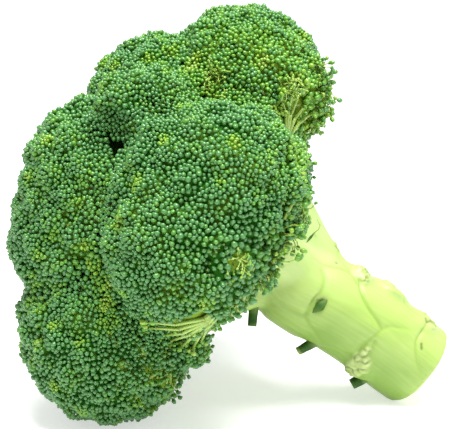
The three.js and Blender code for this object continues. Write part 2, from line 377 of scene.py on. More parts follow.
for index, vert in enumerate(stalk_net.verts):
    rise = LUMPS * noise_at(LUMP_WAVES * vert.co / MM) - CREASE_DEPTH * crease[index]
    rise -= PLATE_DEPTH * plate_edge[index]
    rise += scar[index] * (SCAR_RISE + SCAR_ROUGHNESS * ragged[index]) - TEAR_DEPTH * tear[index]
    rise -= MARK_DEPTH * mark[index]
    rise -= cut[index] * CUT_DISH * (1 - min(1, radius[index] / (CUT_RIM * STALK_RADIUS)) ** 2)
    away = vert.co - FORK
    vert.co += (away - away.dot(ALONG) * ALONG) * spread[index] - ALONG * (lean[index] * CUT_LEAN * MM)
    vert.co += vert.normal * (rise * MM)
    vert.co.z = max(vert.co.z, 0)
    for tint, layer in layers.items():
        vert[layer] = tints[tint][index]
    vert[grain] = (along[index], math.radians(turn[index]) * STALK_RADIUS, radius[index])

skin = Finish("stalk_skin")
stretch = skin.nodes.new("ShaderNodeMapping")
stretch.inputs["Scale"].default_value = FIBRE_STRETCH
skin.links.new(skin.layer("grain", "Vector"), stretch.inputs["Vector"])
fibres = skin.clouds(FIBRES, detail=4, vector=stretch.outputs["Vector"])
blotches = skin.math("MULTIPLY_ADD", skin.clouds(BLOTCHES), BLOTCH_TONE, -BLOTCH_TONE / 2)
# The skin darkens from its pale top round to its underside: partly its own green, partly painted shade.
tone = skin.math("MULTIPLY_ADD", skin.layer("flank_and_shade"), FLANK_AND_SHADE_TONE, blotches)
tone = skin.math("MULTIPLY_ADD", fibres, FIBRE_TONE, skin.math("SUBTRACT", tone, FIBRE_SHIFT))
colour = skin.ramp(tone, *SKIN_COLOURS)
colour = skin.mix(skin.math("MULTIPLY", skin.layer("crease"), CREASE_TONE), colour, CREASE_COLOUR)
scar_colour = skin.ramp(skin.clouds(SCAR_GRAIN, detail=3), *SCAR_COLOURS)
scar_colour = skin.mix(skin.layer("tear"), scar_colour, TEAR_COLOUR)
colour = skin.mix(skin.math("MULTIPLY", skin.layer("scar"), SCAR_TONE), colour, scar_colour)
colour = skin.mix(skin.layer("mark"), colour, MARK_COLOUR)
rings = skin.math("MULTIPLY_ADD", skin.clouds(RING_GRAIN, detail=3), RING_WOBBLE, skin.layer("radius"))
colour = skin.mix(skin.layer("cut"), colour, skin.ramp(rings, *CUT_COLOURS))
skin.feed("Base Color", colour)
pores = skin.math("MULTIPLY_ADD", skin.clouds(PORES, detail=3), PORE_HEIGHT, fibres)
skin.bump(pores, strength=0.12, distance=0.4 * MM)
skin.set(Roughness=0.42)
skin.set(Subsurface_Weight=0.18, Subsurface_Radius=(0.7, 1.0, 0.25), Subsurface_Scale=2.5 * MM)
stalk_skin = BVHTree.FromBMesh(stalk_net)
piece_from(stalk_net, "stalk_flesh", [skin.material], "stalk")


# Florets: eleven domes of flower buds packed side by side, each bud a waxy green bead on a short stem.
# The youngest buds sit in small bright knots. Towards a dome's rim the buds stand apart and their pale
# stems show, and underneath these run together into the branch.

FLORET_NET = 1.3 * MM
FLORET_ROUNDS = 5
CORE_DEPTH = 1.9 * MM  # how far the green core under the buds lies below the CAD's skin

# The buds: their radii, the room between them as a share of these, and how uneven their shape and stance is.
RIPE_RADIUS = (0.65 * MM, 1.0 * MM)
YOUNG_RADIUS = (0.44 * MM, 0.6 * MM)
SIZE_WAVE, WAVES = 0.25, 40
BUD_GAP, RIM_GAP, LOOSE_GAP, GROUND_GAP = 0.79, 0.5, 0.2, 1.4
BUD_LENGTH, BUD_WIDTH = (1.1, 1.4), (0.9, 1.08)
BUD_KINDS = 5
BUD_TIP, BUD_DENTS = 0.9, 0.12
BUD_SINK = 0.45 * MM
BUD_ROUGHNESS, LOOSE_ROUGHNESS = 0.22 * MM, 3
BUD_TILT, LOOSE_TILT = 0.18, 0.4
LOOSE_LIFT, LOOSE_GROWTH = 3.4 * MM, 0.75
TRIES_PER_FACE, TRIES_PER_KNOT = 8, 60

# Knots of young buds on some of the CAD's clusters, and the small raised rosettes that all buds stand in.
KNOT_SHARE = 0.55
KNOT_REACH = (0.2 * MM, 1.7 * MM)
KNOT_SCATTER = 0.6
KNOT_YOUTH = (0.35, 0.9)
RIPENING = 3.2 * MM
AGE_JITTER = 0.15
ROSETTE = 5.2 * MM
ROSETTE_RISE, ROSETTE_EDGE, ROSETTE_LEAN = 1.3 * MM, 0.3, 0.5

# A dome's rim and underside, by how far its skin faces out, and the clefts between domes, by their depth.
RIM, UNDERSIDE = 0.0, -0.5
CLEFT_SPAN = 11 * MM
CLEFT_START, CLEFT_HOLE = 0.7 * MM, 6.2 * MM  # shallower ones are no clefts, and deeper ones stay open
CLEFT_REACH = 3.4 * MM
CLEFT_DEPTH = 2.7 * MM
CLEFT_TURN = 0.4  # clefts that turn further to the branch than this stay open too
DEEP_CLEFT, SECOND_LAYER = 2 * MM, 2.2 * MM  # clefts deeper than this have more buds below the first

# The stems under loose buds, and those that run along a dome's underside to its branch.
STEM_LENGTH, STEM_RADIUS = 5 * MM, 0.34 * MM
STEM_START, STEM_TOP, STEM_DIP = 0.1, 0.6, 0.4
STEM_TAPER, STEM_THINNING = 0.7, 0.75
BRANCH_END = 0.4
FACES_PER_FAN_STEM = 9
FAN_START, FAN_SHARE = 0.3, 0.45
FAN_RADIUS, FAN_SINK = 0.8 * MM, 1.2 * MM
# How old each kind of stem looks, from 0 for the freshest bud to 1 for the ripest.
FAN_AGE, UNDERSIDE_AGE, CURL_AGE, SPRIG_AGE, RIM_AGE, CLEFT_AGE = -0.3, -0.1, -0.1, 0.0, 0.1, 0.3

# Colours from the freshest to the ripest, with their places on a ramp, and how much older or younger a spot
# is made to look by wide patches, by the bud it is on and by the bud's tip.
BUD_COLOURS = (
    (0.0, (0.27, 0.41, 0.07)),
    (0.14, (0.21, 0.37, 0.025)),
    (0.38, (0.14, 0.32, 0.022)),
    (0.68, (0.09, 0.26, 0.026)),
    (1.0, (0.064, 0.21, 0.05)),
)
# The core goes from pale stems to a dark green that is painted shade under the buds and in clefts.
CORE_AND_SHADE_COLOURS = ((0.1, (0.22, 0.36, 0.03)), (0.9, (0.022, 0.14, 0.006)))
PATCHES = 75  # waves to the metre
PATCH_AGE, BUD_AGE, TIP_AGE, TIP_SHIFT = 0.9, 0.5, 0.25, 0.15
CORE_AGE, CORE_SHIFT = 2.0, 1.15


def trail(*places):
    """Places in millimetres as vectors."""
    return [Vector(place) for place in places]


# Places where the buds have grown large and loose, and where they are still fresh and yellow: the spot in
# millimetres, how far the look reaches, and how much of it there is. The widest fresh place, over the top
# dome, is partly fresh yellow and partly painted light that lightens the dome where it faces the light
# overhead.
LOOSE_PLACES = [
    (Vector((9, -64, 65)), 13, 0.6),
    (Vector((15, -54, 66)), 12, 0.6),
    (Vector((0, -66, 55)), 9, 0.4),
]
FRESH_AND_LIT_PLACES = [
    (Vector((25.5, -43.5, 94.9)), 14, 0.5),
    (Vector((26, -46, 82)), 7, 0.45),
    # partly painted light: lightens the whole top dome, which faces the light overhead
    (Vector((6, -8, 122)), 34, 0.34),
    (Vector((-6, -13, 114)), 12, 0.45),
    (Vector((25, -7.6, 111.7)), 11, 0.55),
    (Vector((32.4, 1.4, 103.1)), 15, 0.8),
    (Vector((36, 3, 113)), 12, 0.9),
    (Vector((-52, -30, 88)), 30, 0.12),
]
# Grooves where a dome parts into smaller ones, and where the front dome meets its neighbours.
GROOVES = [
    trail(
        (20.3, -50.9, 101.4), (20.6, -53.3, 95.4), (20.5, -58, 89.9), (20, -57.2, 83.9), (18.5, -54.8, 79.3)
    ),
    trail(
        (-35.5, -39.1, 98.3), (-39.3, -46.8, 90.7), (-41.3, -46.8, 85.7), (-42.5, -49, 77),
        (-42.4, -52.4, 69), (-41.1, -52, 61), (-39, -54.8, 56), (-36, -56.8, 51.5), (-28.1, -57, 42.1)
    ),
    trail((0, -70.7, 73), (-4.4, -71.5, 69.7), (-6.3, -71.4, 66.4), (-3.5, -72.6, 64.1)),
]
GROOVE_DEPTH, GROOVE_WIDTH = 2.6 * MM, 1.7
# Strips of a dome where no buds grow and a fan of pale stems shows, and the stems on them.
BARE_STRIPS = {
    "floret_front": trail((-8, -65.5, 47.5), (-22, -61, 43.5)),
    "floret_top": trail((20.9, -11.1, 98.1), (21.5, -10.8, 103.6), (24, -8.4, 108)),
}
BARE_WIDTH = 3.3
FANS = {
    "floret_front": [
        trail((0, -58, 52), (-7, -65.2, 47.8), (-16, -64.8, 45.8), (-25.5, -60, 45)),
        trail((0, -58, 51), (-7, -65, 47), (-15, -64.3, 44), (-26, -55, 41.5)),
        trail((0, -58, 51), (-6.5, -64.5, 46.7), (-14, -64, 42.5), (-22.1, -47, 36.2)),
        trail((0, -58, 50), (-6, -64, 46.5), (-12, -63.5, 41.8), (-19.5, -46, 33.8)),
        trail((0, -58, 50), (-6, -63.6, 46), (-10, -62.5, 41.8), (-15.3, -45, 31.5)),
        trail((0, -57, 50), (-5, -62.5, 45.5), (-8, -61.5, 42), (-11.3, -44, 31)),
        trail((0, -56, 50), (-4.5, -61.5, 45.5), (-6.5, -60, 42.5), (-8.8, -43, 32.5)),
    ],
    "floret_top": [
        trail((19, -8, 93), (20.6, -12.2, 98), (21.8, -11.8, 104), (25.5, -8.6, 112.5)),
        trail((19, -8, 93), (20, -12.4, 98), (20, -12.9, 103.5), (18.5, -15, 111)),
        trail((19, -8, 93), (21.2, -11.6, 98), (23.4, -10.4, 102.6), (29.5, -4.5, 108.5)),
        trail((20, -7, 93), (22, -11, 97.4), (25, -8.8, 100.6), (31, -2, 104)),
        trail((19, -8, 93), (20.4, -12.4, 99), (21, -12.6, 106), (22.5, -12, 113)),
    ],
}
BARE_FAN_RADIUS = 1.4 * FAN_RADIUS
FAN_TIP_BUDS = 5
FAN_TIP_AGES = (0.3, 0.9)
# Tufts of thin curled stems with the smallest buds, and single buds that lean out on a bent stem.
TUFTS = {
    "floret_front": trail((4.4, -66.6, 67)),
    "floret_top": trail((-4, -14.2, 118), (-7.4, -14.4, 112.9), (21.4, -13.3, 114)),
}
TUFT_STEMS = 26
TUFT_SPREAD = 1.7 * MM
TUFT_LENGTH = (3.4 * MM, 5.6 * MM)
TUFT_BARE = 3.4
TUFT_BUD, TUFT_BUD_AGE = 0.42 * MM, 0.1
SPRIGS = {
    "floret_front": [
        trail((19, -52, 81.1), (22.4, -52.2, 82.6), (25.3, -52.3, 82)),
        trail((18.5, -52.5, 78.9), (19.5, -53.4, 78.9), (20.9, -53.4, 78.3)),
        trail((18.5, -53.5, 74.8), (21.5, -54.4, 76), (24.3, -53.9, 75.5)),
        trail((18.5, -54, 72.4), (21.5, -55, 72.8), (24, -54.7, 72)),
        trail((18.5, -54.5, 69.2), (22, -56, 69), (24.9, -55.8, 67.7)),
        trail((17.8, -55, 67.4), (21, -56.4, 67.2), (23.7, -56.2, 66.1)),
        trail((17.2, -56, 64.2), (20, -56.8, 64.2), (23, -56.5, 65.2)),
    ],
    "floret_top": [
        trail((32, 2, 118.4), (35, 0.6, 119.6), (36.2, 0, 120)),
        trail((33, 2, 115.6), (36, 1, 116.4), (37.2, 0.5, 116.6)),
    ],
}
SPRIG_BUD, SPRIG_BUD_AGE = 1.0 * MM, 0.6
# Rims where many stems curl out over the edge.
FRINGES = {
    "floret_front": trail(
        (25, -47, 79), (23.2, -49.8, 74.7), (21.2, -51.2, 71.8), (19, -51, 68.3), (16.5, -52.5, 64),
        (13.4, -53.8, 60), (9, -55, 55)
    ),
    "floret_top": trail((33, 0, 119), (35, 2, 112), (33.5, 1.5, 104), (30, 0, 99)),
}
FRINGE_STEMS = 85
FRINGE_SPREAD = 1.6 * MM
FRINGE_LENGTH = (3.5 * MM, 8 * MM)
FRINGE_BUDS = (0.5 * MM, 1.0 * MM)
FRINGE_WAY = Vector((0.9, -0.2, -0.1))
FRINGE_TILT = 0.3
CURL = ((1, 0.3), (1, 0.8), (0.3, 1))  # how far each third of a curl goes ahead and aside

SEED = 9
rng = random.Random(SEED)
floret_nodes = sorted(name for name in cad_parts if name.startswith("floret_"))
TINTS = ("ripeness", "shade", "tip")


def small_shape(bm, name):
    """Keeps a bmesh one unit in size as a mesh to be stamped, with a layer for each of its tints."""
    layers = {tint: bm.verts.layers.float.new(tint) for tint in TINTS}
    for vert in bm.verts:
        vert[layers["tip"]] = (vert.co.z + 1) / 2
    for face in bm.faces:
        face.smooth = True
    mesh = bpy.data.meshes.new(name)
    bm.to_mesh(mesh)
    bm.free()
    return mesh


def stamp(bm, shape, spot, ripeness, shade):
    """Adds a copy of a small shape, set in place by a matrix, with its own tints."""
    count = len(shape.vertices)
    rest = [0.0] * (3 * count)
    shape.vertices.foreach_get("co", rest)
    shape.attributes["ripeness"].data.foreach_set("value", [ripeness] * count)
    shape.attributes["shade"].data.foreach_set("value", [shade] * count)
    shape.transform(spot)
    bm.from_mesh(shape)
    shape.vertices.foreach_set("co", rest)


def stance(direction):
    """The turn that stands a shape's Z along a direction."""
    return direction.to_track_quat("Z", "Y").to_matrix().to_4x4()


def jitter():
    """A random step in any direction."""
    return Vector((rng.gauss(0, 1), rng.gauss(0, 1), rng.gauss(0, 1)))


buds_kept = []
for _ in range(BUD_KINDS):
    bm = bmesh.new()
    bmesh.ops.create_uvsphere(bm, u_segments=6, v_segments=4, radius=1)
    max(bm.verts, key=lambda vert: vert.co.z).co.z = BUD_TIP
    for vert in bm.verts:
        vert.co += BUD_DENTS * jitter()
    buds_kept.append(small_shape(bm, "bud"))

bm = bmesh.new()
bmesh.ops.create_cone(bm, cap_ends=True, segments=5, radius1=1, radius2=STEM_TAPER, depth=2)
stem = small_shape(bm, "stem")


def lay_stem(bm, start, end, radius, ripeness, shade):
    """A thin straight stem from one spot to another, thicker where it starts."""
    run = end - start
    size = Matrix.Diagonal((radius, radius, run.length / 2, 1))
    stamp(bm, stem, Matrix.Translation(start.lerp(end, 0.5)) @ stance(run) @ size, ripeness, shade)


waxy = Finish("bud_wax")
age = waxy.math("SUBTRACT", waxy.layer("ripeness"), PATCH_AGE / 2)
age = waxy.math("MULTIPLY_ADD", waxy.clouds(PATCHES), PATCH_AGE, age)
age = waxy.math("MULTIPLY_ADD", waxy.layer("shade"), BUD_AGE, waxy.math("SUBTRACT", age, BUD_AGE / 2))
age = waxy.math("MULTIPLY_ADD", waxy.layer("tip"), TIP_AGE, waxy.math("SUBTRACT", age, TIP_SHIFT))
waxy.feed("Base Color", waxy.ramp(age, *BUD_COLOURS))
waxy.set(Roughness=0.29, Specular_IOR_Level=0.55)

# The core's material: its dark end is painted shade between and under the buds, its pale end the stems that
# show underneath.
core_and_shade = Finish("floret_core_and_shade")
age = core_and_shade.math("SUBTRACT", core_and_shade.layer("ripeness"), CORE_SHIFT)
age = core_and_shade.math("MULTIPLY_ADD", core_and_shade.clouds(PATCHES), CORE_AGE, age)
core_and_shade.feed("Base Color", core_and_shade.ramp(age, *CORE_AND_SHADE_COLOURS))
core_and_shade.set(Roughness=0.8, Specular_IOR_Level=0.1)

nets = {name: even_net([name], FLORET_NET, FLORET_ROUNDS) for name in floret_nodes}
skins = {name: BVHTree.FromBMesh(net) for name, net in nets.items()}
crown_net = even_net(floret_nodes, FLORET_NET, FLORET_ROUNDS, CLEFT_SPAN)
crown_skin = BVHTree.FromBMesh(crown_net)


def cluster_tops(node):
    """The middle of a CAD floret, and where its bud clusters stand highest."""
    bm = bmesh.new()
    bm.from_mesh(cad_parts[node].data)
    bmesh.ops.remove_doubles(bm, verts=bm.verts, dist=WELD)
    centre = sum((vert.co for vert in bm.verts), Vector()) / len(bm.verts)
    height = {vert: (vert.co - centre).length for vert in bm.verts}
    tops = [
        vert.co.copy()
        for vert in bm.verts
        if all(height[vert] > height[edge.other_vert(vert)] for edge in vert.link_edges)
    ]
    bm.free()
    return centre, tops


def underneath(normal, axis):
    """How far a spot has turned to the branch: 0 on the dome, 1 on its underside."""
    turned = max(normal.dot(axis), normal.dot(ALONG))
    return min(1, max(0, (RIM - turned) / (RIM - UNDERSIDE)))


clusters = {name: cluster_tops(name) for name in floret_nodes}
axes = {name: (centre - FORK).normalized() for name, (centre, _) in clusters.items()}
clefts = {name: [] for name in floret_nodes}
for face in crown_net.faces:
    middle = face.calc_center_median()
    depth, name = min((skins[name].find_nearest(middle)[3], name) for name in floret_nodes)
    if CLEFT_START < depth < CLEFT_HOLE and underneath(face.normal, axes[name]) < CLEFT_TURN:
        clefts[name].append(face)


def depth_in_cleft(spot):
    """How far a spot lies below the mouth of a cleft, or 0 where there is none."""
    mouth, facing, _, depth = crown_skin.find_nearest(spot)
    return depth if (mouth - spot).dot(facing) > 0 else 0


def over_a_face(face):
    """A random spot on a face of a net."""
    a, b, c, d = (vert.co for vert in face.verts)
    u, v = rng.random(), rng.random()
    return a.lerp(b, u).lerp(d.lerp(c, u), v)


def places_to_try(name, young, reaches):
    """Places for a bud: its foot on the dome, where it stands, how it faces and how far underneath it is.

    They come first about the young knots, then all over the dome, then over its clefts with other domes."""
    domes = [face for face in nets[name].faces if underneath(face.normal, axes[name]) < 1]
    starts = [
        skins[name].find_nearest(knot + KNOT_SCATTER * reach * jitter())[:2]
        for knot, reach in zip(young, reaches)
        for _ in range(TRIES_PER_KNOT)
    ]
    tried = rng.choices(domes, k=TRIES_PER_FACE * len(domes))
    starts += [(over_a_face(face), face.normal.copy()) for face in tried]
    for foot, normal in starts:
        turned = underneath(normal, axes[name])
        if depth_in_cleft(foot) * (1 - turned) < CLEFT_REACH:
            yield foot, foot, normal, turned
    for face in rng.choices(clefts[name], k=TRIES_PER_FACE * len(clefts[name])):
        spot = over_a_face(face)
        foot, _, _, depth = skins[name].find_nearest(spot)
        sunk = CLEFT_DEPTH * (1 - math.exp(-depth / CLEFT_DEPTH))
        turned = underneath(face.normal, axes[name])
        for deeper in (0, SECOND_LAYER) if depth > DEEP_CLEFT else (0,):
            yield foot, spot - (sunk + deeper) * face.normal, face.normal.copy(), turned


def felt(spot, places):
    """How much of the look of any of a few places shows at a spot."""
    spot = spot / MM
    return max(amount * math.exp(-(((spot - place).length / reach) ** 2)) for place, reach, amount in places)


def from_line(spot, line):
    """How many millimetres a spot lies from a line through places in millimetres."""
    nearest = 1e3
    for start, end in zip(line, line[1:]):
        away, run = spot / MM - start, end - start
        share = min(1, max(0, away.dot(run) / run.length_squared))
        nearest = min(nearest, (away - share * run).length)
    return nearest


def groove_at(spot):
    """How deep a spot is drawn in by the nearest groove."""
    nearest = min(from_line(spot, line) for line in GROOVES)
    return GROOVE_DEPTH * math.exp(-((nearest / GROOVE_WIDTH) ** 2))


def is_bare(name, spot):
    """Whether buds are left out at a spot of a floret, where its stems show."""
    tufts = TUFTS.get(name, ())
    on_strip = name in BARE_STRIPS and from_line(spot, BARE_STRIPS[name]) < BARE_WIDTH
    return on_strip or any((spot / MM - tuft).length < TUFT_BARE for tuft in tufts)


LOOSEST = max(amount for _, _, amount in LOOSE_PLACES)
CELL = 2 * (1 + SIZE_WAVE) * (1 + LOOSEST * LOOSE_GROWTH) * RIPE_RADIUS[1]
taken = {}


def spread_buds(name, young, reaches, youths, knots):
    """Fits in buds until no more have room: their feet, spots, normals, radii, ages, turns and looseness."""
    buds = []
    for foot, spot, normal, turned in places_to_try(name, young, reaches):
        _, knot, distance = knots.find(foot)
        age = min(1, max(0, (distance - reaches[knot]) / RIPENING + rng.uniform(-AGE_JITTER, AGE_JITTER)))
        age = 1 - youths[knot] * (1 - age)
        low, high = (a + (b - a) * age for a, b in zip(YOUNG_RADIUS, RIPE_RADIUS))
        airy = felt(spot, LOOSE_PLACES)
        radius = rng.uniform(low, high) * (1 + LOOSE_GROWTH * airy)
        radius *= 1 + SIZE_WAVE * noise_at(spot * WAVES)
        room = BUD_GAP * (1 + RIM_GAP * turned + LOOSE_GAP * airy)
        x, y, z = (int(c // CELL) for c in spot)
        cells = [(x + i, y + j, z + k) for i in (-1, 0, 1) for j in (-1, 0, 1) for k in (-1, 0, 1)]
        near = (other for key in cells for other in taken.get(key, ()))
        crowded = any((spot - other).length < room * (radius + size) for other, size in near)
        if crowded or spot.z < GROUND_GAP * radius or is_bare(name, spot):
            continue
        taken.setdefault((x, y, z), []).append((spot, radius))
        buds.append((foot, spot, normal, radius, age - felt(spot, FRESH_AND_LIT_PLACES), turned, airy))
    return buds


def set_bud(bm, spot, way, radius, age):
    """One bud at a spot, standing along a way."""
    spreads = (BUD_WIDTH, BUD_WIDTH, BUD_LENGTH)
    size = Matrix.Diagonal((*(radius * rng.uniform(*spread) for spread in spreads), 1))
    spin = Matrix.Rotation(rng.uniform(0, math.tau), 4, "Z")
    place = Matrix.Translation(spot) @ stance(way) @ spin @ size
    stamp(bm, rng.choice(buds_kept), place, age, rng.random())


def lay_bent_stem(bm, places, radius, ripeness):
    """A stem through a few spots, thinner at each, and the way it points at its end."""
    shade = rng.random()
    for start, end in zip(places, places[1:]):
        lay_stem(bm, start, end, radius, ripeness, shade)
        radius *= STEM_THINNING
    return (places[-1] - places[-2]).normalized()


def lay_curl(bm, start, way, length, bud_radius, age):
    """A thin stem that leaves along a way and curls to one side, with a bud at its end."""
    side = jitter().cross(way).normalized()
    line = [start]
    for ahead, aside in CURL:
        bend = ahead * way + aside * side
        line.append(line[-1] + length / len(CURL) * bend.normalized())
    tip_way = lay_bent_stem(bm, line, STEM_RADIUS, CURL_AGE)
    set_bud(bm, line[-1], tip_way, bud_radius, age)


for name in floret_nodes:
    net = nets[name]
    axis = axes[name]
    centre, tops = clusters[name]

    # Some clusters are knots of young buds, and the buds are spread about these first.
    young = [spot for spot in tops if rng.random() < KNOT_SHARE] or tops[:1]
    reaches = [rng.uniform(*KNOT_REACH) for _ in young]
    youths = [rng.uniform(*KNOT_YOUTH) for _ in young]
    knots = KDTree(len(young))
    for index, spot in enumerate(young):
        knots.insert(spot, index)
    knots.balance()
    buds = spread_buds(name, young, reaches, youths, knots)

    # Pale stems run along the underside from the rim towards the branch.
    depth = max((vert.co - centre).dot(axis) for vert in net.verts)
    branch_end = centre - BRANCH_END * depth * axis
    rims = [face for face in net.faces if underneath(face.normal, axis) > FAN_START]
    fan = []
    for face in rng.sample(rims, len(rims) // FACES_PER_FAN_STEM):
        end = face.calc_center_median()
        start, normal, _, _ = skins[name].find_nearest(end.lerp(branch_end, FAN_SHARE))
        fan.append((start - FAN_SINK * normal, end - FAN_SINK * face.normal))

    # The net is drawn in to be the core under the buds. Its colour is partly painted shade: dark green on the
    # dome under the buds and darker in clefts and grooves; it is pale yellow-green where it turns underneath,
    # at fresh places and on bare strips, where stems show.
    for tint in TINTS:
        net.verts.layers.float.new(tint)
    ripeness_and_shade = net.verts.layers.float["ripeness"]
    for face in net.faces:
        face.material_index = 1
    for vert in net.verts:
        sunk = min(1, depth_in_cleft(vert.co) / CLEFT_DEPTH)
        groove = groove_at(vert.co)
        age = max(1 - underneath(vert.normal, axis), sunk) - felt(vert.co, FRESH_AND_LIT_PLACES)
        vert[ripeness_and_shade] = 0 if is_bare(name, vert.co) else age + groove / GROOVE_DEPTH
        vert.co -= (CORE_DEPTH + groove) * vert.normal
    for start, end in fan:
        lay_stem(net, start, end, FAN_RADIUS, UNDERSIDE_AGE, rng.random())

    # The buds stand on it in rosettes, sunk at the grooves and lifted on stems where they are loose.
    for foot, spot, normal, radius, age, turned, airy in buds:
        distances, middles = cells_at(spot / ROSETTE)
        outward = spot / ROSETTE - middles[0]
        lift = ROSETTE_RISE * (ROSETTE_EDGE - distances[0] ** 2)
        lift += (1 + LOOSE_ROUGHNESS * airy) * BUD_ROUGHNESS * rng.gauss(0, 1)
        lift += LOOSE_LIFT * turned * rng.random() ** 2
        spot = spot + (lift - groove_at(spot) - BUD_SINK) * normal
        way = (normal + ROSETTE_LEAN * outward + (BUD_TILT + LOOSE_TILT * airy) * jitter()).normalized()
        set_bud(net, spot, way, radius, age)
        stem_top = spot - STEM_TOP * radius * way
        if turned > STEM_START:
            inward = ((branch_end - spot).normalized() - STEM_DIP * normal).normalized()
            lay_stem(net, spot + STEM_LENGTH * inward, stem_top, STEM_RADIUS, RIM_AGE, rng.random())
        elif (spot - foot).length > CLEFT_DEPTH:
            lay_stem(net, foot - CORE_DEPTH * normal, stem_top, STEM_RADIUS, CLEFT_AGE, rng.random())

    # Two domes have fans, sprigs, tufts and fringes of their own.
    for line in FANS.get(name, ()):
        way = lay_bent_stem(net, [MM * place for place in line], BARE_FAN_RADIUS, FAN_AGE)
        for _ in range(FAN_TIP_BUDS):
            spot = MM * line[-1] + RIPE_RADIUS[1] * jitter()
            set_bud(net, spot, way, RIPE_RADIUS[1], rng.uniform(*FAN_TIP_AGES))
    for line in SPRIGS.get(name, ()):
        way = lay_bent_stem(net, [MM * place for place in line], STEM_RADIUS, SPRIG_AGE)
        set_bud(net, MM * line[-1], way, SPRIG_BUD, SPRIG_BUD_AGE)
    for tuft in TUFTS.get(name, ()):
        foot, normal, _, _ = skins[name].find_nearest(MM * tuft)
        for _ in range(TUFT_STEMS):
            start = foot + TUFT_SPREAD * jitter() - CORE_DEPTH * normal
            lay_curl(net, start, normal, rng.uniform(*TUFT_LENGTH), TUFT_BUD, TUFT_BUD_AGE)
    for _ in range(FRINGE_STEMS if name in FRINGES else 0):
        rim = FRINGES[name]
        share, step = math.modf(rng.uniform(0, len(rim) - 1))
        spot = MM * rim[int(step)].lerp(rim[int(step) + 1], share) + FRINGE_SPREAD * jitter()
        foot, normal, _, _ = skins[name].find_nearest(spot)
        way = (normal + FRINGE_WAY + FRINGE_TILT * jitter()).normalized()
        length = rng.uniform(*FRINGE_LENGTH)
        lay_curl(net, foot - CORE_DEPTH * normal, way, length, rng.uniform(*FRINGE_BUDS), rng.random())

    for vert in net.verts:
        vert.co.z = max(vert.co.z, 0)
    piece_from(net, name + "_buds", [waxy.material, core_and_shade.material], name)


# Leaf scraps: torn stubs of the leaves that grew in the stalk's axils, dark green and slightly leathery.
# Each grew out of the stalk's skin and was snapped off, so its root runs into the stalk. Three are short
# pegs, one is a thin bud lying in a crease, and one a sliver on the upper branch with a pale hair.

STUB_SIDES, STUB_RINGS = 10, 5
STUB_ROOT = 1.6 * MM
STUB_EDGE = 0.35 * MM
STUB_ROUGHNESS, STUB_WAVES = 0.12 * MM, Vector((900, 900, 2))
ROOT_PALENESS, TIP_SHARPNESS = 0.5, 6
SPINDLE_PALENESS, SPINDLE_TAPER = 0.25, 0.9
LEAF_COLOURS = ((0.3, (0.010, 0.045, 0.004)), (0.7, (0.034, 0.11, 0.010)))
FLESH_COLOUR = (0.33, 0.45, 0.13)
LEAF_GRAIN, LEAF_WRINKLES = 320, 900  # waves to the metre
# The root and the tip of each peg along the plant, to its front and to its top, its half width at both ends
# and how far its tip is pale cut flesh.
PEGS = {
    "leaf_scrap_branch": ((-0.5, 6.8, -11), (-3.7, 8.5, -17.7), 1.75, 1.6, 0.1),
    "leaf_scrap_below": ((-26.5, 4.4, -13.8), (-24.2, 4.2, -17.6), 2.0, 1.5, 0.9),
    "leaf_scrap_end": ((-49.9, 5.9, -13.2), (-47.3, 5.7, -17.2), 2.3, 1.9, 0.1),
}
BUD_LEAF = ((-16.5, 16.4, -1.8), (-18.2, 16, 5))
BUD_LEAF_WIDTH, BUD_LEAF_RISE = 1.75 * MM, 1.5 * MM
SLIVER = trail((27.4, -12.5, 58.7), (30.6, -10, 62.1))
SLIVER_WIDTH, SLIVER_RISE = 0.55 * MM, 0.4 * MM
HAIR = trail((30.4, -10.4, 61.9), (31.6, -12, 63.4), (32.2, -12.6, 65), (31.2, -12.4, 67.2))
HAIR_RADIUS, HAIR_OVERLAP = 0.2 * MM, 1.06


def on_the_plant(along, front, top):
    """A spot given in millimetres along the plant from its fork, to its front and to its top."""
    return FORK + MM * (along * ALONG + front * FRONT + top * TOP)


def tint_scrap(bm, paleness):
    """Gives every vertex of a scrap its share of pale flesh."""
    pale = bm.verts.layers.float.new("pale")
    for vert in bm.verts:
        vert[pale] = paleness(vert.co.z)


def spindle(start, end, width, rise, normal):
    """A pointed body lying from one spot to another on the skin under it."""
    bm = bmesh.new()
    bmesh.ops.create_uvsphere(bm, u_segments=12, v_segments=10, radius=1)
    tint_scrap(bm, lambda z: SPINDLE_PALENESS * abs(z))
    for vert in bm.verts:
        taper = math.sqrt(1 - SPINDLE_TAPER * abs(vert.co.z))
        vert.co.x *= taper
        vert.co.y *= taper
    run = (end - start).normalized()
    across = run.cross(normal).normalized()
    half_run = run * (end - start).length / 2
    turn_to = Matrix((across * width, across.cross(run) * rise, half_run)).transposed()
    bm.transform(Matrix.Translation(start.lerp(end, 0.5)) @ turn_to.to_4x4())
    bmesh.ops.recalc_face_normals(bm, faces=bm.faces)
    return bm


leathery = Finish("leaf_skin")
green = leathery.ramp(leathery.clouds(LEAF_GRAIN, detail=3), *LEAF_COLOURS)
leathery.feed("Base Color", leathery.mix(leathery.layer("pale"), green, FLESH_COLOUR))
leathery.bump(leathery.clouds(LEAF_WRINKLES, detail=3), strength=0.3, distance=0.3 * MM)
leathery.set(Roughness=0.6, Specular_IOR_Level=0.2)

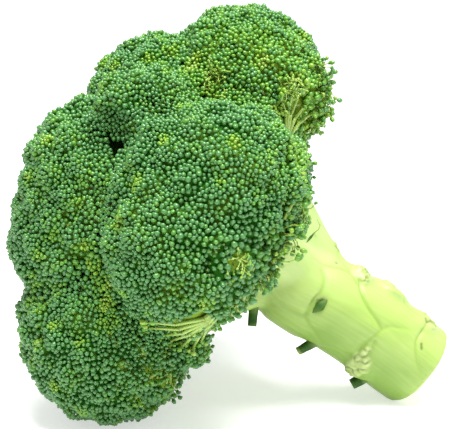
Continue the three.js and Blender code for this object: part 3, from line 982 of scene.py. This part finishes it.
for name, (root, tip, root_width, tip_width, paleness) in PEGS.items():
    foot, normal, _, _ = stalk_skin.find_nearest(on_the_plant(*root))
    root, tip = foot - STUB_ROOT * normal, on_the_plant(*tip)
    bm = bmesh.new()
    bmesh.ops.create_cone(
        bm, cap_ends=True, segments=STUB_SIDES, radius1=root_width * MM, radius2=tip_width * MM, depth=2
    )
    ends = [edge for edge in bm.edges if all(vert.co.z > 0 for vert in edge.verts)]
    bmesh.ops.bevel(
        bm,
        geom=ends,
        offset=STUB_EDGE,
        segments=2,
        profile=0.5,
        affect="EDGES",
        material=-1,
        clamp_overlap=True,
    )
    sides = [edge for edge in bm.edges if abs(edge.verts[0].co.z - edge.verts[1].co.z) > 1]
    bmesh.ops.subdivide_edges(bm, edges=sides, cuts=STUB_RINGS, use_grid_fill=True)
    tint_scrap(bm, lambda z: paleness * max(0, z) ** TIP_SHARPNESS + ROOT_PALENESS * max(0, -z))
    for vert in bm.verts:
        outward = Vector((vert.co.x, vert.co.y, 0)).normalized()
        vert.co += STUB_ROUGHNESS * noise_at(vert.co * STUB_WAVES) * outward
    run = tip - root
    size = Matrix.Diagonal((1, 1, run.length / 2, 1))
    bm.transform(Matrix.Translation(root.lerp(tip, 0.5)) @ stance(run) @ size)
    piece_from(bm, name + "_stub", [leathery.material], name)

start, end = (stalk_skin.find_nearest(on_the_plant(*spot))[0] for spot in BUD_LEAF)
bud_leaf = spindle(start, end, BUD_LEAF_WIDTH, BUD_LEAF_RISE, FRONT)
piece_from(bud_leaf, "leaf_scrap_front_stub", [leathery.material], "leaf_scrap_front")

start, end = (stalk_skin.find_nearest(MM * spot)[0] for spot in SLIVER)
sliver = spindle(start, end, SLIVER_WIDTH, SLIVER_RISE, FRONT)
pale = sliver.verts.layers.float["pale"]
for spot, next_spot in zip(HAIR, HAIR[1:]):
    run = MM * (next_spot - spot)
    place = Matrix.Translation(MM * spot.lerp(next_spot, 0.5)) @ stance(run)
    hair = bmesh.ops.create_cone(
        sliver,
        cap_ends=True,
        segments=5,
        radius1=HAIR_RADIUS,
        radius2=HAIR_RADIUS,
        depth=HAIR_OVERLAP * run.length,
        matrix=place,
    )
    for vert in hair["verts"]:
        vert[pale] = 1
piece_from(sliver, "leaf_sliver", [leathery.material], None)


# Studio: a sheet of pale paper as the floor, one soft light overhead and white light from all around.
# The camera looks slightly down at the head, as far off as someone sitting at the table.

AIM = Vector((3.406, -5.469, 67.2)) * MM
CAMERA_RISE = math.radians(14)
CAMERA_DISTANCE = 0.6
PIXEL = 0.35 * MM
PHOTO_WIDTH = 474
SENSOR_WIDTH = 36
FLOOR_SIZE = 4
DAYLIGHT = 0.5
LIGHT_SPOT, LIGHT_SIZE, LIGHT_POWER = Vector((0.1, -0.15, 1.1)), 0.7, 30

paper = Finish("floor_paper")
paper.set(Base_Color=(0.8, 0.8, 0.8, 1), Roughness=0.8, Emission_Color=(1, 1, 1, 1), Emission_Strength=0.55)
bm = bmesh.new()
bmesh.ops.create_grid(bm, x_segments=1, y_segments=1, size=FLOOR_SIZE)
floor_mesh = bpy.data.meshes.new("floor")
bm.to_mesh(floor_mesh)
bm.free()
floor_mesh.materials.append(paper.material)
floor = bpy.data.objects.new("floor", floor_mesh)
bpy.context.scene.collection.objects.link(floor)
floor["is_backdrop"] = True

world = bpy.data.worlds.new("studio")
world.use_nodes = True
sky = world.node_tree.nodes["Background"]
sky.inputs["Color"].default_value = (1, 1, 1, 1)
sky.inputs["Strength"].default_value = DAYLIGHT
bpy.context.scene.world = world
bpy.context.scene.view_settings.view_transform = "Standard"

soft_box = bpy.data.lights.new("key_light", "AREA")
soft_box.size = LIGHT_SIZE
soft_box.energy = LIGHT_POWER
lamp = bpy.data.objects.new("key_light", soft_box)
lamp.location = LIGHT_SPOT
lamp.rotation_euler = (AIM - LIGHT_SPOT).to_track_quat("-Z", "Y").to_euler()
bpy.context.scene.collection.objects.link(lamp)

lens = bpy.data.cameras.new("camera")
lens.sensor_width = SENSOR_WIDTH
lens.lens = SENSOR_WIDTH * CAMERA_DISTANCE / (PHOTO_WIDTH * PIXEL)
camera = bpy.data.objects.new("camera", lens)
camera.location = AIM + CAMERA_DISTANCE * Vector((0, -math.cos(CAMERA_RISE), math.sin(CAMERA_RISE)))
camera.rotation_euler = (math.pi / 2 - CAMERA_RISE, 0, 0)
bpy.context.scene.collection.objects.link(camera)
bpy.context.scene.camera = camera

boxes = {"cad": cad_box, "visual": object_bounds()}
{name: [list(corner) for corner in box] for name, box in boxes.items()}
